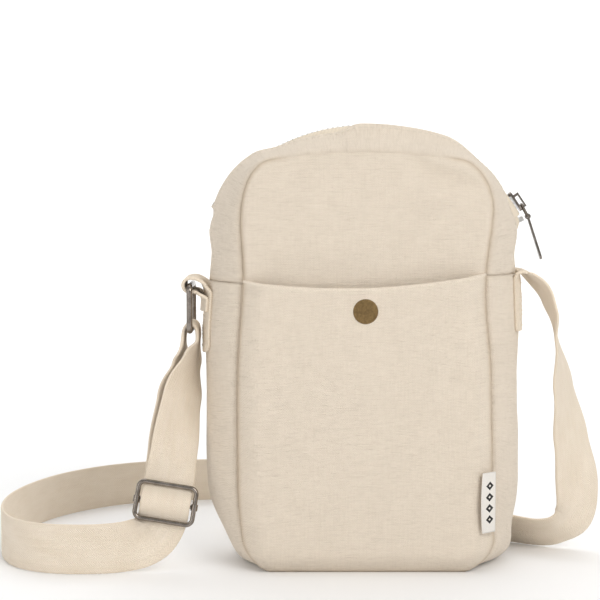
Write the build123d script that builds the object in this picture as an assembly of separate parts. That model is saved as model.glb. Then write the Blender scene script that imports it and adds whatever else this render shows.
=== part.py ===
from build123d import *
import math
import os

# Small canvas crossbody purse, standing on its base, zip open, pocket snap open.
# Millimetres. Seen from the front, X runs to the right; the front faces -Y and Z is up.
# The origin is the middle of the base, on the surface it stands on.

os.makedirs("parts", exist_ok=True)

# ---- driving dimensions ----
canvas = 1.4             # thickness of one canvas wall
seam_y = 28.0            # front and back seams stand this far from the middle
seam_half = 62.5         # half width of the front and back panels
middle_half = 80.0       # half width where the gusset bulges most
seam_crown = 209.0       # top of the front and back panels
middle_crown = 224.0     # top of the gusset
gusset_join = 148.0      # seam between the lower gusset and the zip gusset
floor_skirt = 1.0        # the outlines start this far under the base and are cut flat

arc_z = 132.0            # centre of the arc that the zip follows
arc_r = 91.0             # radius of that arc, to the middle of the teeth
mouth_axis_z = 178.0     # the two lips turn about X at this height
mouth_angle = 12.0       # each lip leans this far out while the zip is open
slider_elevation = 34.0  # where the slider rests on the arc, open end
tooth_size = (1.35, 2.85, 2.2)
tooth_inner = 0.55       # from the zip's middle plane to the teeth
first_tooth = 31.5       # degrees of elevation on the arc
last_tooth = 146.0
tooth_count = 71          # on each side
tape_thick = 0.8
tape_inner = tooth_inner + tooth_size[1] + 0.1
tape_outer = tape_inner + 2.6

pocket_gap = 5.6         # hollow depth of the front pocket
pocket_top = 143.0
pocket_half = 53.0
snap_z = 131.3
snap_cap_r = 6.25

binding_depth = 5.0      # of the bound seam allowance, along Y
binding_clear = 1.4      # between it and the gusset, which moves past it as the zip closes
binding_thick = 1.0
skirt_step = 0.5         # an inner skin's base lies this much less deep than its inset

tag_size = (10.0, 0.8, 30.0)
tag_centre = (60.95, -35.55, 36.5)
tag_turn = 38.6          # the tag lies along the pocket's sloping edge

webbing_width = 25.0
webbing_thick = 1.6
ring_x = -87.5
ring_wire_r = 1.5
ring_top_z = 141.6
ring_drop = 22.3         # top bar to lower bar
ring_half = 14.5         # middle of the ring's side legs
ring_corner = 2.6
buckle_half = 14.6
buckle_corner = 3.2
buckle_rise = 9.25       # centre bar to the frame's upper and lower bars
buckle_wire_r = 1.15

front_face = seam_y + canvas
BIG = 400.0
saved = []


def save(shape, name):
    shape.label = name
    export_step(shape, "parts/" + name + ".step")
    saved.append(name)


def keep_between(shape, low, high):
    """The part of a shape inside the box from low to high."""
    size = [b - a for a, b in zip(low, high)]
    middle = [(a + b) / 2 for a, b in zip(low, high)]
    return shape & Pos(*middle) * Box(*size)


# ---- outlines of the bag ----
# Each outline is a foot, two lower corners, two sides, two shoulders and a crown.

def outline(y, half, low, foot, high, crown_half, crown_low, crown_top, base):
    crown = ThreePointArc((crown_half, y, crown_low), (0, y, crown_top), (-crown_half, y, crown_low))
    lean = crown % 0
    edges = [Line((-foot, y, base), (foot, y, base))]
    edges.append(Spline((foot, y, base), (half, y, low), tangents=[(1, 0, 0), (0, 0, 1)]))
    edges.append(Line((half, y, low), (half, y, high)))
    edges.append(Spline((half, y, high), (crown_half, y, crown_low), tangents=[(0, 0, 1), lean]))
    edges.append(crown)
    back_lean = crown % 1
    edges.append(Spline((-crown_half, y, crown_low), (-half, y, high), tangents=[back_lean, (0, 0, -1)]))
    edges.append(Line((-half, y, high), (-half, y, low)))
    edges.append(Spline((-half, y, low), (-foot, y, base), tangents=[(0, 0, -1), (1, 0, 0)]))
    return make_face(Wire(edges))


def panel_outline(y, inset=0.0, base=-floor_skirt):
    return outline(y, seam_half - inset, 15.0, 48.0 - inset, 166.0, 46.0 - inset / 2,
                   205.5 - inset, seam_crown - inset, base)


def middle_outline(inset=0.0, base=-floor_skirt):
    return outline(0, middle_half - inset, 46.0, 58.0 - inset, 143.0, 61.0 - inset / 2,
                   200.5 - inset, middle_crown - inset, base)


def barrel(inset=0.0, base=-floor_skirt):
    """The whole bag between its front and back seams, taken in by inset all round."""
    sections = [panel_outline(-seam_y, inset, base)]
    sections.append(middle_outline(inset, base))
    sections.append(panel_outline(seam_y, inset, base))
    return loft(sections)


outer = barrel()
inner = barrel(canvas, canvas)
gusset = outer - inner
binding_outer = canvas + binding_clear
binding_inner = binding_outer + binding_thick
binding_skin = barrel(binding_outer, binding_outer - skirt_step)
binding_skin -= barrel(binding_inner, binding_inner - skirt_step)


def panel(side):
    face = panel_outline(side * seam_y)
    plate = extrude(face, canvas, dir=(0, side, 0))
    return keep_between(plate, (-BIG, -BIG, 0), (BIG, BIG, BIG))


save(panel(-1), "front_panel")
save(panel(1), "back_panel")
save(keep_between(gusset, (-BIG, -BIG, 0), (BIG, BIG, gusset_join)), "lower_gusset")
side_top = mouth_axis_z - 0.2
save(keep_between(gusset, (-BIG, -BIG, gusset_join), (0, BIG, side_top)), "zip_gusset_left")
save(keep_between(gusset, (0, -BIG, gusset_join), (BIG, BIG, side_top)), "zip_gusset_right")

for side, name in ((-1, "seam_binding_front"), (1, "seam_binding_back")):
    near = side * (seam_y - 0.2)
    far = side * (seam_y - 0.2 - binding_depth)
    band = keep_between(binding_skin, (-BIG, min(near, far), 0.5), (BIG, max(near, far), BIG))
    save(band, name)


# ---- zip: two lips that lean apart while it is open ----

def lean_out(shape, side):
    """Turns a shape made in the zip's closed position to where it lies when open."""
    hinge = Pos(0, 0, mouth_axis_z)
    return hinge * Rot(-side * mouth_angle, 0, 0) * hinge.inverse() * shape


def lip_side(side, reach):
    """Everything on one side of the zip's plane, at least reach away from it, leaned out."""
    block = Pos(0, side * (reach + BIG / 2), mouth_axis_z) * Box(BIG, BIG, BIG)
    return lean_out(block, side)


def arc_place(elevation, radius=arc_r):
    """Puts a shape on the zip's arc: its Z points out of the bag, its X down the right side."""
    return Pos(0, 0, arc_z) * Rot(0, 90 - elevation, 0) * Pos(0, 0, radius)


def arc_band(inner_r, outer_r, start, end, width):
    """A band round the arc from one elevation to the other, its width along Y."""
    steps = [start, (start + end) / 2, end]
    outer_points = [(outer_r * math.cos(math.radians(a)), 0, arc_z + outer_r * math.sin(math.radians(a)))
                    for a in steps]
    inner_points = [(inner_r * math.cos(math.radians(a)), 0, arc_z + inner_r * math.sin(math.radians(a)))
                    for a in reversed(steps)]
    edges = [ThreePointArc(*outer_points), Line(outer_points[-1], inner_points[0])]
    edges.append(ThreePointArc(*inner_points))
    edges.append(Line(inner_points[-1], outer_points[0]))
    return extrude(make_face(Wire(edges)), width / 2, dir=(0, 1, 0), both=True)


tooth_step = (last_tooth - first_tooth) / (tooth_count - 1)
for side, name in ((-1, "front"), (1, "back")):
    strip = keep_between(gusset, (-BIG, -seam_y + 0.3, mouth_axis_z + 0.2), (BIG, seam_y - 0.3, BIG))
    strip = strip & lip_side(side, tape_outer + 0.1)
    save(strip, "zip_strip_" + name)

    tape_middle = side * (tape_inner + tape_outer) / 2
    tape = Pos(0, tape_middle, 0) * arc_band(arc_r - tape_thick / 2, arc_r + tape_thick / 2,
                                             first_tooth - 0.6, last_tooth + 0.6,
                                             tape_outer - tape_inner)
    save(lean_out(tape, side), "zip_tape_" + name)

    tooth = Pos(0, side * (tooth_inner + tooth_size[1] / 2), 0) * Box(*tooth_size)
    offset = tooth_step / 4 * side
    row = [lean_out(arc_place(first_tooth + offset + i * tooth_step) * tooth, side)
           for i in range(tooth_count)]
    save(Compound(children=row), "zip_teeth_" + name)

stop = arc_place(first_tooth - 3.2) * Box(2.4, 5.0, 2.6)
save(stop, "zip_end_stop")

# ---- slider and its pull ----
plate_size = (11.0, 8.4, 1.2)
plate_gap = 1.6          # from the middle of the teeth to each plate
pivot_along = 2.9        # the pull hangs from this far along the slider, towards its tail
pivot_out = plate_gap + plate_size[2] + 1.25

top_plate = fillet(Box(*plate_size).edges().filter_by(Axis.Z), 2.6)
low_plate = Pos(0, 0, -plate_gap - plate_size[2] / 2) * top_plate
top_plate = Pos(0, 0, plate_gap + plate_size[2] / 2) * top_plate
nose_web = Pos(-4.2, 0, 0) * Box(1.6, 0.5, 2 * plate_gap + 0.4)
crown_z = plate_gap + plate_size[2]
bridge = Pos(0.9, 0, crown_z + 1.5) * Box(8.2, 2.0, 3.2)
bridge = bridge - Pos(0.9, 0, crown_z + 1.2) * Box(5.6, 3.0, 2.0)
slider = top_plate + low_plate + nose_web + bridge
slider_place = arc_place(slider_elevation)
save(slider_place * slider, "zip_slider")

link_tilt = 5.0          # the link lies this much closer to the bag than the slider's plate
link_length = 7.0
tab_tilt = 18.0          # from vertical
tab_length = 23.0
pull_wire_r = 0.6
pivot = slider_place * Pos(pivot_along, 0, pivot_out)
pivot_point = pivot.position
link_lean = 90 - slider_elevation + link_tilt   # of the link, from Z turned towards X
link_frame = Pos(*pivot_point) * Rot(0, link_lean, 0)
# In the link's frame X runs down the link, away from the pivot.
link_rail_y = 1.75
link = Rot(90, 0, 0) * Cylinder(pull_wire_r, 2 * link_rail_y)
for rail in (-1, 1):
    link += Pos(link_length / 2, rail * link_rail_y, 0) * Rot(0, 90, 0) * Cylinder(pull_wire_r, link_length)
    link += Pos(0, rail * link_rail_y, 0) * Sphere(pull_wire_r)
    link += Pos(link_length, rail * link_rail_y, 0) * Sphere(pull_wire_r)
link += Pos(link_length, 0, 0) * Rot(90, 0, 0) * Cylinder(pull_wire_r, 2 * link_rail_y)
save(link_frame * link, "pull_link")

tab_point = (link_frame * Pos(link_length, 0, 0)).position
tab_frame = Pos(*tab_point) * Rot(0, 90 - tab_tilt, 0)
# The tab's eye turns on the link's far bar; its blade tapers to a rounded end.
eye = Rot(90, 0, 0) * (Cylinder(1.5, 1.6) - Cylinder(pull_wire_r + 0.08, 3))
blade_edges = [Line((1.1, -0.75, 0), (5.0, -1.1, 0)), Line((5.0, -1.1, 0), (tab_length - 2, -2.0, 0))]
blade_edges.append(ThreePointArc((tab_length - 2, -2.0, 0), (tab_length, 0, 0), (tab_length - 2, 2.0, 0)))
blade_edges.append(Line((tab_length - 2, 2.0, 0), (5.0, 1.1, 0)))
blade_edges.append(Line((5.0, 1.1, 0), (1.1, 0.75, 0)))
blade_edges.append(Line((1.1, 0.75, 0), (1.1, -0.75, 0)))
blade = extrude(make_face(Wire(blade_edges)), 0.6, both=True)
save(tab_frame * (eye + blade), "pull_tab")

# ---- front pocket and its snap ----
pocket_inner_y = -front_face - pocket_gap
pocket_outer_y = pocket_inner_y - canvas
plate = Pos(0, (pocket_inner_y + pocket_outer_y) / 2, (6 + pocket_top) / 2)
plate = plate * Box(2 * pocket_half, canvas, pocket_top - 6)
snap_rivet_r = 1.0
rivet_bore = Pos(0, pocket_inner_y, snap_z) * Rot(90, 0, 0) * Cylinder(snap_rivet_r + 0.02, 20)
save(plate - rivet_bore, "pocket_front")

hem = Pos(0, pocket_inner_y + 0.6, pocket_top - 2.6) * Box(2 * pocket_half, 1.1, 5.2)
save(hem, "pocket_hem")

# The pocket's side and bottom edges slope from its face down to the seam.
slope_low = panel_outline(-front_face - 0.1, 0.4, 0.4)
slope_high = panel_outline(pocket_outer_y + 0.3, 8.0, 3.0)
edge = loft([slope_high, slope_low], ruled=True)
well = Pos(0, -front_face, (5.4 + BIG) / 2) * Box(2 * pocket_half + 1.2, 40, BIG - 5.4)
edge = keep_between(edge - well, (-BIG, -BIG, 0.4), (BIG, BIG, pocket_top + 1))
save(edge, "pocket_edge")


def disc(radius, near_y, far_y, z=snap_z):
    return Pos(0, (near_y + far_y) / 2, z) * Rot(90, 0, 0) * Cylinder(radius, abs(far_y - near_y))


cap = disc(snap_cap_r, pocket_outer_y, pocket_outer_y - 1.2)
cap = fillet(cap.faces().sort_by(Axis.Y)[0].edges(), 0.7)
save(cap, "snap_cap")
socket = disc(5.4, pocket_inner_y, pocket_inner_y + 1.8) - disc(2.3, pocket_inner_y, pocket_inner_y + 3)
save(socket, "snap_socket")
save(disc(snap_rivet_r, pocket_inner_y, pocket_outer_y), "snap_rivet")
stud = disc(5.0, -front_face, -front_face - 0.8) + disc(2.0, -front_face - 0.7, -front_face - 2.4)
save(stud, "snap_stud")
save(disc(5.0, -seam_y, -seam_y + 0.8), "snap_backing")

# ---- blank tag sewn into the pocket's right edge ----
save(Pos(*tag_centre) * Rot(0, 0, tag_turn) * Box(*tag_size), "side_tag")

# ---- left tab and strap ring ----
tab_skin = -middle_half - 0.3
loop_inner = 2.6
tab_low = 108.0
loop_z = ring_top_z + 0.7
tab_plate = Pos(tab_skin - webbing_thick / 2, 0, (tab_low + loop_z) / 2)
tab_plate = tab_plate * Box(webbing_thick, webbing_width, loop_z - tab_low + 2.4)
loop_body = Pos(ring_x, 0, loop_z) * Rot(90, 0, 0) * Cylinder(loop_inner + webbing_thick, webbing_width)
neck_x = (ring_x + loop_inner + tab_skin) / 2
loop_body += Pos(neck_x, 0, loop_z) * Box(tab_skin - ring_x - loop_inner, webbing_width, 2.4)
loop_body -= Pos(ring_x, 0, loop_z) * Rot(90, 0, 0) * Cylinder(loop_inner, 2 * webbing_width)
save(tab_plate + loop_body, "left_tab")


def wire_frame(half_long, half_short, corner, wire_r):
    """A closed rounded rectangle of round wire in the XY plane, long along X."""
    path = RectangleRounded(2 * half_long, 2 * half_short, corner).wire()
    section = Plane(path @ 0, z_dir=path % 0) * Circle(wire_r)
    return sweep(section, path=path)


ring_plane = Plane((ring_x, 0, ring_top_z - ring_drop / 2), x_dir=(0, 1, 0), z_dir=(1, 0, 0))
ring = ring_plane * wire_frame(ring_half, ring_drop / 2, ring_corner, ring_wire_r)
save(ring, "strap_ring")

# ---- right end of the strap, sewn to the gusset ----
patch_low = 119.0
patch_top = 147.4
patch = Pos(middle_half + 0.3 + webbing_thick / 2, 0, (patch_low + patch_top) / 2)
save(patch * Box(webbing_thick, webbing_width, patch_top - patch_low), "strap_end_patch")

# ---- buckle: a wire frame with a centre bar, and its place on the strap ----
buckle_centre = Vector(-99.5, -23.0, 33.6)
buckle_up = Vector(0.161, 0.155, 0.975).normalized()
buckle_across = Vector(0.987, 0, -0.163).normalized()
buckle_front = buckle_across.cross(buckle_up)
buckle_plane = Plane(buckle_centre, x_dir=buckle_across, z_dir=buckle_front * -1)
buckle_frame = wire_frame(buckle_half, buckle_rise, buckle_corner, buckle_wire_r)
save(buckle_plane * buckle_frame, "buckle_frame")
bar = Rot(0, 90, 0) * Cylinder(0.95, 2 * buckle_half - 2 * buckle_wire_r - 0.6)
for side in (-1, 1):
    curl = Cylinder(1.75, 3.2) - Cylinder(buckle_wire_r + 0.03, 5)
    bar += Pos(side * buckle_half, 0, 0) * Rot(90, 0, 0) * curl
save(buckle_plane * bar, "buckle_bar")


def by_buckle(up, front):
    """A point of the strap's route given from the buckle, along the strap and out of its face."""
    point = buckle_centre + buckle_up * up + buckle_front * front
    return (point.X, point.Y, point.Z)


# ---- strap: one length of webbing ----
# Each entry is a point of the middle line and the direction that the webbing's width points,
# from the right end down to the surface, behind the bag, round to the left, up through the
# buckle, over the ring's lower bar and back down to the buckle's centre bar.
across = tuple(buckle_across)
strap = [
    ((82.2, 0.0, 148.6), (0.0, 1.0, 0.0)),
    ((90.0, 0.5, 143.5), (-0.25, 0.97, 0.0)),
    ((96.5, 2.0, 131.0), (-0.1, 1.0, 0.0)),
    ((100.0, 5.0, 114.0), (0.17, 0.98, 0.0)),
    ((103.5, 9.0, 88.0), (0.50, 0.86, 0.0)),
    ((107.5, 14.0, 59.0), (0.76, 0.65, 0.0)),
    ((110.0, 18.0, 35.0), (0.92, 0.40, 0.0)),
    ((108.0, 21.0, 18.5), (0.85, 0.45, -0.25)),
    ((97.0, 24.5, 11.0), (0.35, 0.62, -0.70)),
    ((80.0, 31.0, 10.2), (0.05, 0.75, -0.66)),
    ((56.0, 42.0, 11.4), (0.0, 0.55, -0.83)),
    ((22.0, 48.0, 12.9), (0.0, 0.1, -1.0)),
    ((-16.0, 46.5, 12.8), (0.0, 0.0, -1.0)),
    ((-48.0, 50.0, 12.8), (0.0, 0.0, -1.0)),
    ((-66.0, 63.0, 12.8), (0.0, 0.0, -1.0)),
    ((-60.0, 82.0, 12.8), (0.0, 0.0, -1.0)),
    ((-32.0, 90.0, 12.8), (0.0, 0.0, -1.0)),
    ((8.0, 88.0, 12.8), (0.0, 0.0, -1.0)),
    ((42.0, 91.0, 12.8), (0.0, 0.0, -1.0)),
    ((61.0, 106.0, 12.8), (0.0, 0.0, -1.0)),
    ((50.0, 126.0, 12.8), (0.0, 0.0, -1.0)),
    ((20.0, 135.0, 12.8), (0.0, 0.0, -1.0)),
    ((-22.0, 139.0, 12.8), (0.0, 0.0, -1.0)),
    ((-62.0, 140.0, 12.8), (0.0, 0.0, -1.0)),
    ((-101.0, 137.0, 12.8), (0.0, 0.0, -1.0)),
    ((-138.0, 127.0, 12.8), (0.0, 0.0, -1.0)),
    ((-169.0, 99.0, 12.8), (0.0, 0.0, -1.0)),
    ((-186.0, 61.0, 12.8), (0.0, 0.0, -1.0)),
    ((-191.0, 22.0, 12.8), (0.0, 0.0, -1.0)),
    ((-182.0, -15.0, 12.8), (0.0, 0.0, -1.0)),
    ((-163.0, -32.0, 12.8), (0.0, 0.0, -1.0)),
    ((-140.0, -35.5, 12.8), (0.0, 0.0, -1.0)),
    ((-120.0, -31.5, 12.9), (0.30, 0.0, -0.95)),
    ((-106.5, -25.5, 15.5), (0.85, 0.0, -0.5)),
    (by_buckle(-9.25, -3.9), across),
    (by_buckle(0.0, 4.7), across),
    (by_buckle(9.25, -3.9), across),
    (by_buckle(26.0, -2.0), (0.92, 0.38, -0.1)),
    ((-92.0, -9.0, 86.0), (0.72, 0.69, 0.0)),
    ((-86.6, -2.0, 104.5), (0.33, 0.94, 0.0)),
    ((-83.7, 0.0, 113.5), (0.0, 1.0, 0.0)),
    ((-84.4, 0.0, 122.4), (0.0, 1.0, 0.0)),
    ((-90.6, 0.0, 122.4), (0.0, 1.0, 0.0)),
    ((-91.6, 0.0, 113.0), (0.0, 1.0, 0.0)),
    ((-93.3, 0.6, 101.5), (0.25, 0.97, 0.0)),
    ((-95.6, -4.5, 84.0), (0.68, 0.73, 0.0)),
    ((-97.3, -13.0, 58.5), (0.92, 0.38, -0.1)),
    (by_buckle(9.6, -5.9), across),
    (by_buckle(3.0, -2.3), across),
]
strap_joins = (9, 31, 41)    # entries where one node of the strap ends and the next begins
strap_nodes = ("strap_right", "strap_floor", "strap_left", "strap_end_layer")
arc_share = 0.45             # each bend takes this much of its shorter run
station_step = 2.5           # distance between the webbing's cross sections

route = [Vector(*point) for point, width in strap]
runs = [(b - a).length for a, b in zip(route, route[1:])]
radii = []
for before, here, after in zip(route, route[1:], route[2:]):
    turn = math.radians((here - before).get_angle(after - here))
    shorter = min((here - before).length, (after - here).length)
    radii.append(arc_share * shorter / math.tan(turn / 2))
middle_line = FilletPolyline(*route, radius=radii)
print("strap radii", [round(r, 1) for r in radii])
print("strap length", round(middle_line.length, 1), "runs added up", round(sum(runs), 1))


def route_length(index):
    """How far along the bent middle line a route point lies, near enough for the width."""
    return middle_line.length * sum(runs[:index]) / sum(runs)


marks = [route_length(i) for i in range(len(route))]


def width_at(distance):
    index = max(i for i in range(len(marks) - 1) if marks[i] <= distance + 1e-6)
    part = (distance - marks[index]) / (marks[index + 1] - marks[index])
    ease = part * part * (3 - 2 * part)
    return Vector(*strap[index][1]) * (1 - ease) + Vector(*strap[index + 1][1]) * ease


def webbing_section(distance):
    centre = middle_line.position_at(distance, position_mode=PositionMode.LENGTH)
    along = middle_line.tangent_at(distance, position_mode=PositionMode.LENGTH)
    wide = width_at(distance)
    wide = (wide - along * wide.dot(along)).normalized()
    return Plane(centre, x_dir=wide, z_dir=along) * Rectangle(webbing_width, webbing_thick)


def webbing(start, end):
    count = max(2, round((end - start) / station_step))
    places = [start + (end - start) * i / count for i in range(count + 1)]
    stretch = loft([webbing_section(d) for d in places], ruled=True)
    if stretch.volume < 0:
        stretch = loft([webbing_section(d) for d in reversed(places)], ruled=True)
    return stretch


ends = [0.0] + [marks[i] for i in strap_joins] + [middle_line.length]
for name, start, end in zip(strap_nodes, ends, ends[1:]):
    stretch = webbing(start, end)
    ratio = stretch.volume / (webbing_width * webbing_thick * (end - start))
    print(name, "length", round(end - start, 1), "volume / (section x length)", round(ratio, 3))
    save(stretch, name)

print("pull pivot", pivot_point, "tab pivot", tab_point)
print(len(saved), "nodes")
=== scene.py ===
import math

import bmesh
import bpy
import numpy as np
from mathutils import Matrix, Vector, noise


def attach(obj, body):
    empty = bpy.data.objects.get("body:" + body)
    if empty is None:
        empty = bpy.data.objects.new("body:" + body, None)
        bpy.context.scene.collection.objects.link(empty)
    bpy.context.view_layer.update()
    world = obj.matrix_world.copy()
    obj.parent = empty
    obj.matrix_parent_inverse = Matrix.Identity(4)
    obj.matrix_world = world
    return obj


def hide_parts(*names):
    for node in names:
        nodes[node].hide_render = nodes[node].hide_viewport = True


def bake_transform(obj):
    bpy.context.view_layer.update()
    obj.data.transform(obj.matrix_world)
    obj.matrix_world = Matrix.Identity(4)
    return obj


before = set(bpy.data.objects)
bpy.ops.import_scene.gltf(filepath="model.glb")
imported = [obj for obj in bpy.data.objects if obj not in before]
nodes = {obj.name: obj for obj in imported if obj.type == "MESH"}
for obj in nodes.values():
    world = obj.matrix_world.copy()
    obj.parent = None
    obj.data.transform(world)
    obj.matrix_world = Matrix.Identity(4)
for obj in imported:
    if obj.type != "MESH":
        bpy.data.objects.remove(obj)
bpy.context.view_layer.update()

# Lengths in this file are millimetres, as in the CAD, until a mesh is made.
MM = 0.001

# ---- sizes that the CAD fixes ----
SEAM_Y = 28.0            # the panels' seams stand this far from the middle
JOIN_Z = 148.0           # seam between the lower gusset and the zip gusset, at the right
JOIN_LEFT_Z = 144.5
MOUTH_Z = 178.0          # the lips turn about X at this height
MOUTH_LEAN = math.radians(12)
ARC_Z = 132.0
ARC_R = 91.0             # the zip's arc, at the middle of the teeth
FIRST_TOOTH = 31.5
LAST_TOOTH = 146.0
TOOTH_COUNT = 71
POCKET_FACE = 36.4       # the pocket's outer face stands at this -Y
SNAP_Z = 131.3
RING_X = -87.5
LOOP_Z = 142.3
BUCKLE = Vector((-99.5, -23.0, 33.6))
BUCKLE_UP = Vector((0.161, 0.155, 0.975)).normalized()
BUCKLE_ACROSS = Vector((0.987, 0, -0.163)).normalized()
BUCKLE_FRONT = BUCKLE_ACROSS.cross(BUCKLE_UP)

CLOTH = 0.8              # one layer of canvas
FOLD_R = 0.75            # of a turned edge, to the cloth's middle


# ---- mesh helpers ----

def smooth_step(t):
    t = np.clip(t, 0, 1)
    return t * t * (3 - 2 * t)


def unit(vectors):
    """The same directions, at length 1."""
    return vectors / np.linalg.norm(vectors, axis=-1, keepdims=True)


def path_lengths(points):
    """How far along its path each point lies."""
    return np.concatenate([[0], np.cumsum(np.linalg.norm(np.diff(points, axis=0), axis=1))])


def at_lengths(values, reach, wanted):
    """The values at the wanted lengths along a path, where reach says how far each one lies."""
    return np.stack([np.interp(wanted, reach, column) for column in values.T], 1)


def evenly(points, count):
    """The same path with count points, evenly spaced."""
    reach = path_lengths(points)
    return at_lengths(points, reach, np.linspace(0, reach[-1], count))


def uv_grid(across, along):
    return np.stack(np.broadcast_arrays(across[None, :], along[:, None]), 2)


def mesh_piece(name, points, faces, uv=None):
    """A smooth shaded mesh object from points in millimetres, with one UV for each point."""
    mesh = bpy.data.meshes.new(name)
    mesh.from_pydata([tuple(p) for p in np.asarray(points, float) * MM], [], faces)
    if uv is not None:
        layer = mesh.uv_layers.new(name="cloth")
        corners = np.zeros(len(mesh.loops), np.int32)
        mesh.loops.foreach_get("vertex_index", corners)
        layer.data.foreach_set("uv", np.asarray(uv, np.float32)[corners].ravel())
    mesh.shade_smooth()
    piece = bpy.data.objects.new(name, mesh)
    bpy.context.scene.collection.objects.link(piece)
    return piece


def grid_faces(rows, cols, wrap=False, flip=False):
    faces = []
    for r in range(rows - 1):
        for c in range(cols if wrap else cols - 1):
            after = (c + 1) % cols
            face = (r * cols + c, r * cols + after, (r + 1) * cols + after, (r + 1) * cols + c)
            faces.append(face[::-1] if flip else face)
    return faces


def grid_normals(points):
    normals = np.cross(np.gradient(points, axis=0), np.gradient(points, axis=1))
    return normals / np.maximum(np.linalg.norm(normals, axis=2, keepdims=True), 1e-9)


def grid_piece(name, points, uv, flip=False):
    rows, cols = points.shape[:2]
    return mesh_piece(name, points.reshape(-1, 3), grid_faces(rows, cols, flip=flip), uv.reshape(-1, 2))


def thicken(piece, thickness, offset=-1.0):
    """Gives a sheet its thickness; its faces point out of the bag, so it grows inward."""
    solid = piece.modifiers.new("thickness", "SOLIDIFY")
    solid.thickness = thickness * MM
    solid.offset = offset
    solid.use_even_offset = False
    return piece


def ripple(points, wavelength, seed):
    """Smooth noise from -1 to 1 at each point."""
    place = np.asarray(points, float).reshape(-1, 3) / wavelength + seed
    found = np.array([noise.noise(Vector(p)) for p in place])
    return found.reshape(np.asarray(points).shape[:-1])


def shade_seams(piece, amount):
    """Stores how much painted shade each point gets for lying in a seam's crease."""
    layer = piece.data.attributes.new("seam", "FLOAT", "POINT")
    layer.data.foreach_set("value", np.asarray(amount, np.float32).ravel())


def finish_piece(piece, material, body=None, stands_for=()):
    piece.data.materials.append(material)
    if stands_for:
        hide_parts(*stands_for)
    if body:
        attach(piece, body)
    return piece


# ---- materials ----

class Shader:
    """A material, with short calls for the nodes it needs."""

    def __init__(self, name, roughness=0.9, **sockets):
        self.material = bpy.data.materials.new(name)
        self.material.use_nodes = True
        self.tree = self.material.node_tree
        self.surface = self.tree.nodes["Principled BSDF"]
        self.surface.inputs["Roughness"].default_value = roughness
        for socket, value in sockets.items():
            self.surface.inputs[socket.replace("_", " ")].default_value = value

    def node(self, kind, inputs=None, **settings):
        node = self.tree.nodes.new("ShaderNode" + kind)
        for key, value in settings.items():
            setattr(node, key, value)
        for key, value in (inputs or {}).items():
            if isinstance(value, bpy.types.NodeSocket):
                self.tree.links.new(value, node.inputs[key])
            else:
                node.inputs[key].default_value = value
        return node

    def math(self, operation, *values):
        return self.node("Math", dict(enumerate(values)), operation=operation).outputs[0]

    def times(self, a, b):
        return self.math("MULTIPLY", a, b)

    def ribs(self, value, period):
        """A wave from 0 to 1 along the value."""
        wave = self.math("SINE", self.times(value, math.tau / period))
        return self.math("ADD", self.times(wave, 0.5), 0.5)

    def cloth(self):
        """The cloth's own coordinates in millimetres: across and along."""
        place = self.node("UVMap", uv_map="cloth").outputs["UV"]
        parts = self.node("SeparateXYZ", {0: place})
        return place, parts.outputs[0], parts.outputs[1]

    def stretched(self, place, x, y, z=1.0):
        return self.node("Mapping", {"Vector": place, "Scale": (x, y, z)}).outputs[0]

    def noise(self, place, scale, detail=2.0, rough=0.5):
        inputs = {"Vector": place, "Scale": scale, "Detail": detail, "Roughness": rough}
        return self.node("TexNoise", inputs).outputs["Fac"]

    def ramp(self, value, *stops):
        node = self.node("ValToRGB", {"Fac": value})
        while len(node.color_ramp.elements) < len(stops):
            node.color_ramp.elements.new(0.5)
        for element, (position, shade) in zip(node.color_ramp.elements, stops):
            element.position = position
            element.color = (*shade, 1) if isinstance(shade, tuple) else (shade, shade, shade, 1)
        return node.outputs["Color"]

    def mix(self, factor, a, b, blend="MIX"):
        node = self.node("Mix", data_type="RGBA", blend_type=blend)
        for index, value in ((0, factor), (6, a), (7, b)):
            if isinstance(value, bpy.types.NodeSocket):
                self.tree.links.new(value, node.inputs[index])
            elif index == 0:
                node.inputs[index].default_value = value
            else:
                node.inputs[index].default_value = (*value, 1)
        return node.outputs[2]

    def seam_shade(self):
        """How much painted shade a seam's crease puts on the cloth here; a mesh without it reads as none."""
        node = self.node("Attribute", attribute_name="seam", attribute_type="GEOMETRY")
        return node.outputs["Fac"]

    def bump(self, height, distance, strength=1.0, under=None):
        inputs = {"Height": height, "Distance": distance * MM, "Strength": strength}
        if under is not None:
            inputs["Normal"] = under
        return self.node("Bump", inputs).outputs["Normal"]

    def use(self, **outputs):
        for socket, output in outputs.items():
            self.tree.links.new(output, self.surface.inputs[socket.replace("_", " ")])
        return self.material


def scaled(colour, factor):
    return tuple(factor * c for c in colour)


def plain_weave(shader, across, along, pitch):
    """Height of an over and under weave, from 0 to 1."""
    turn = math.pi / pitch
    warp = shader.math("SINE", shader.times(across, turn))
    weft = shader.math("SINE", shader.times(along, turn))
    crossing = shader.times(warp, weft)
    warp_side = shader.times(shader.math("ABSOLUTE", warp), shader.math("ABSOLUTE", weft))
    lifted = shader.times(crossing, 0.35)
    return shader.math("ADD", shader.times(warp_side, 0.65), lifted)


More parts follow.
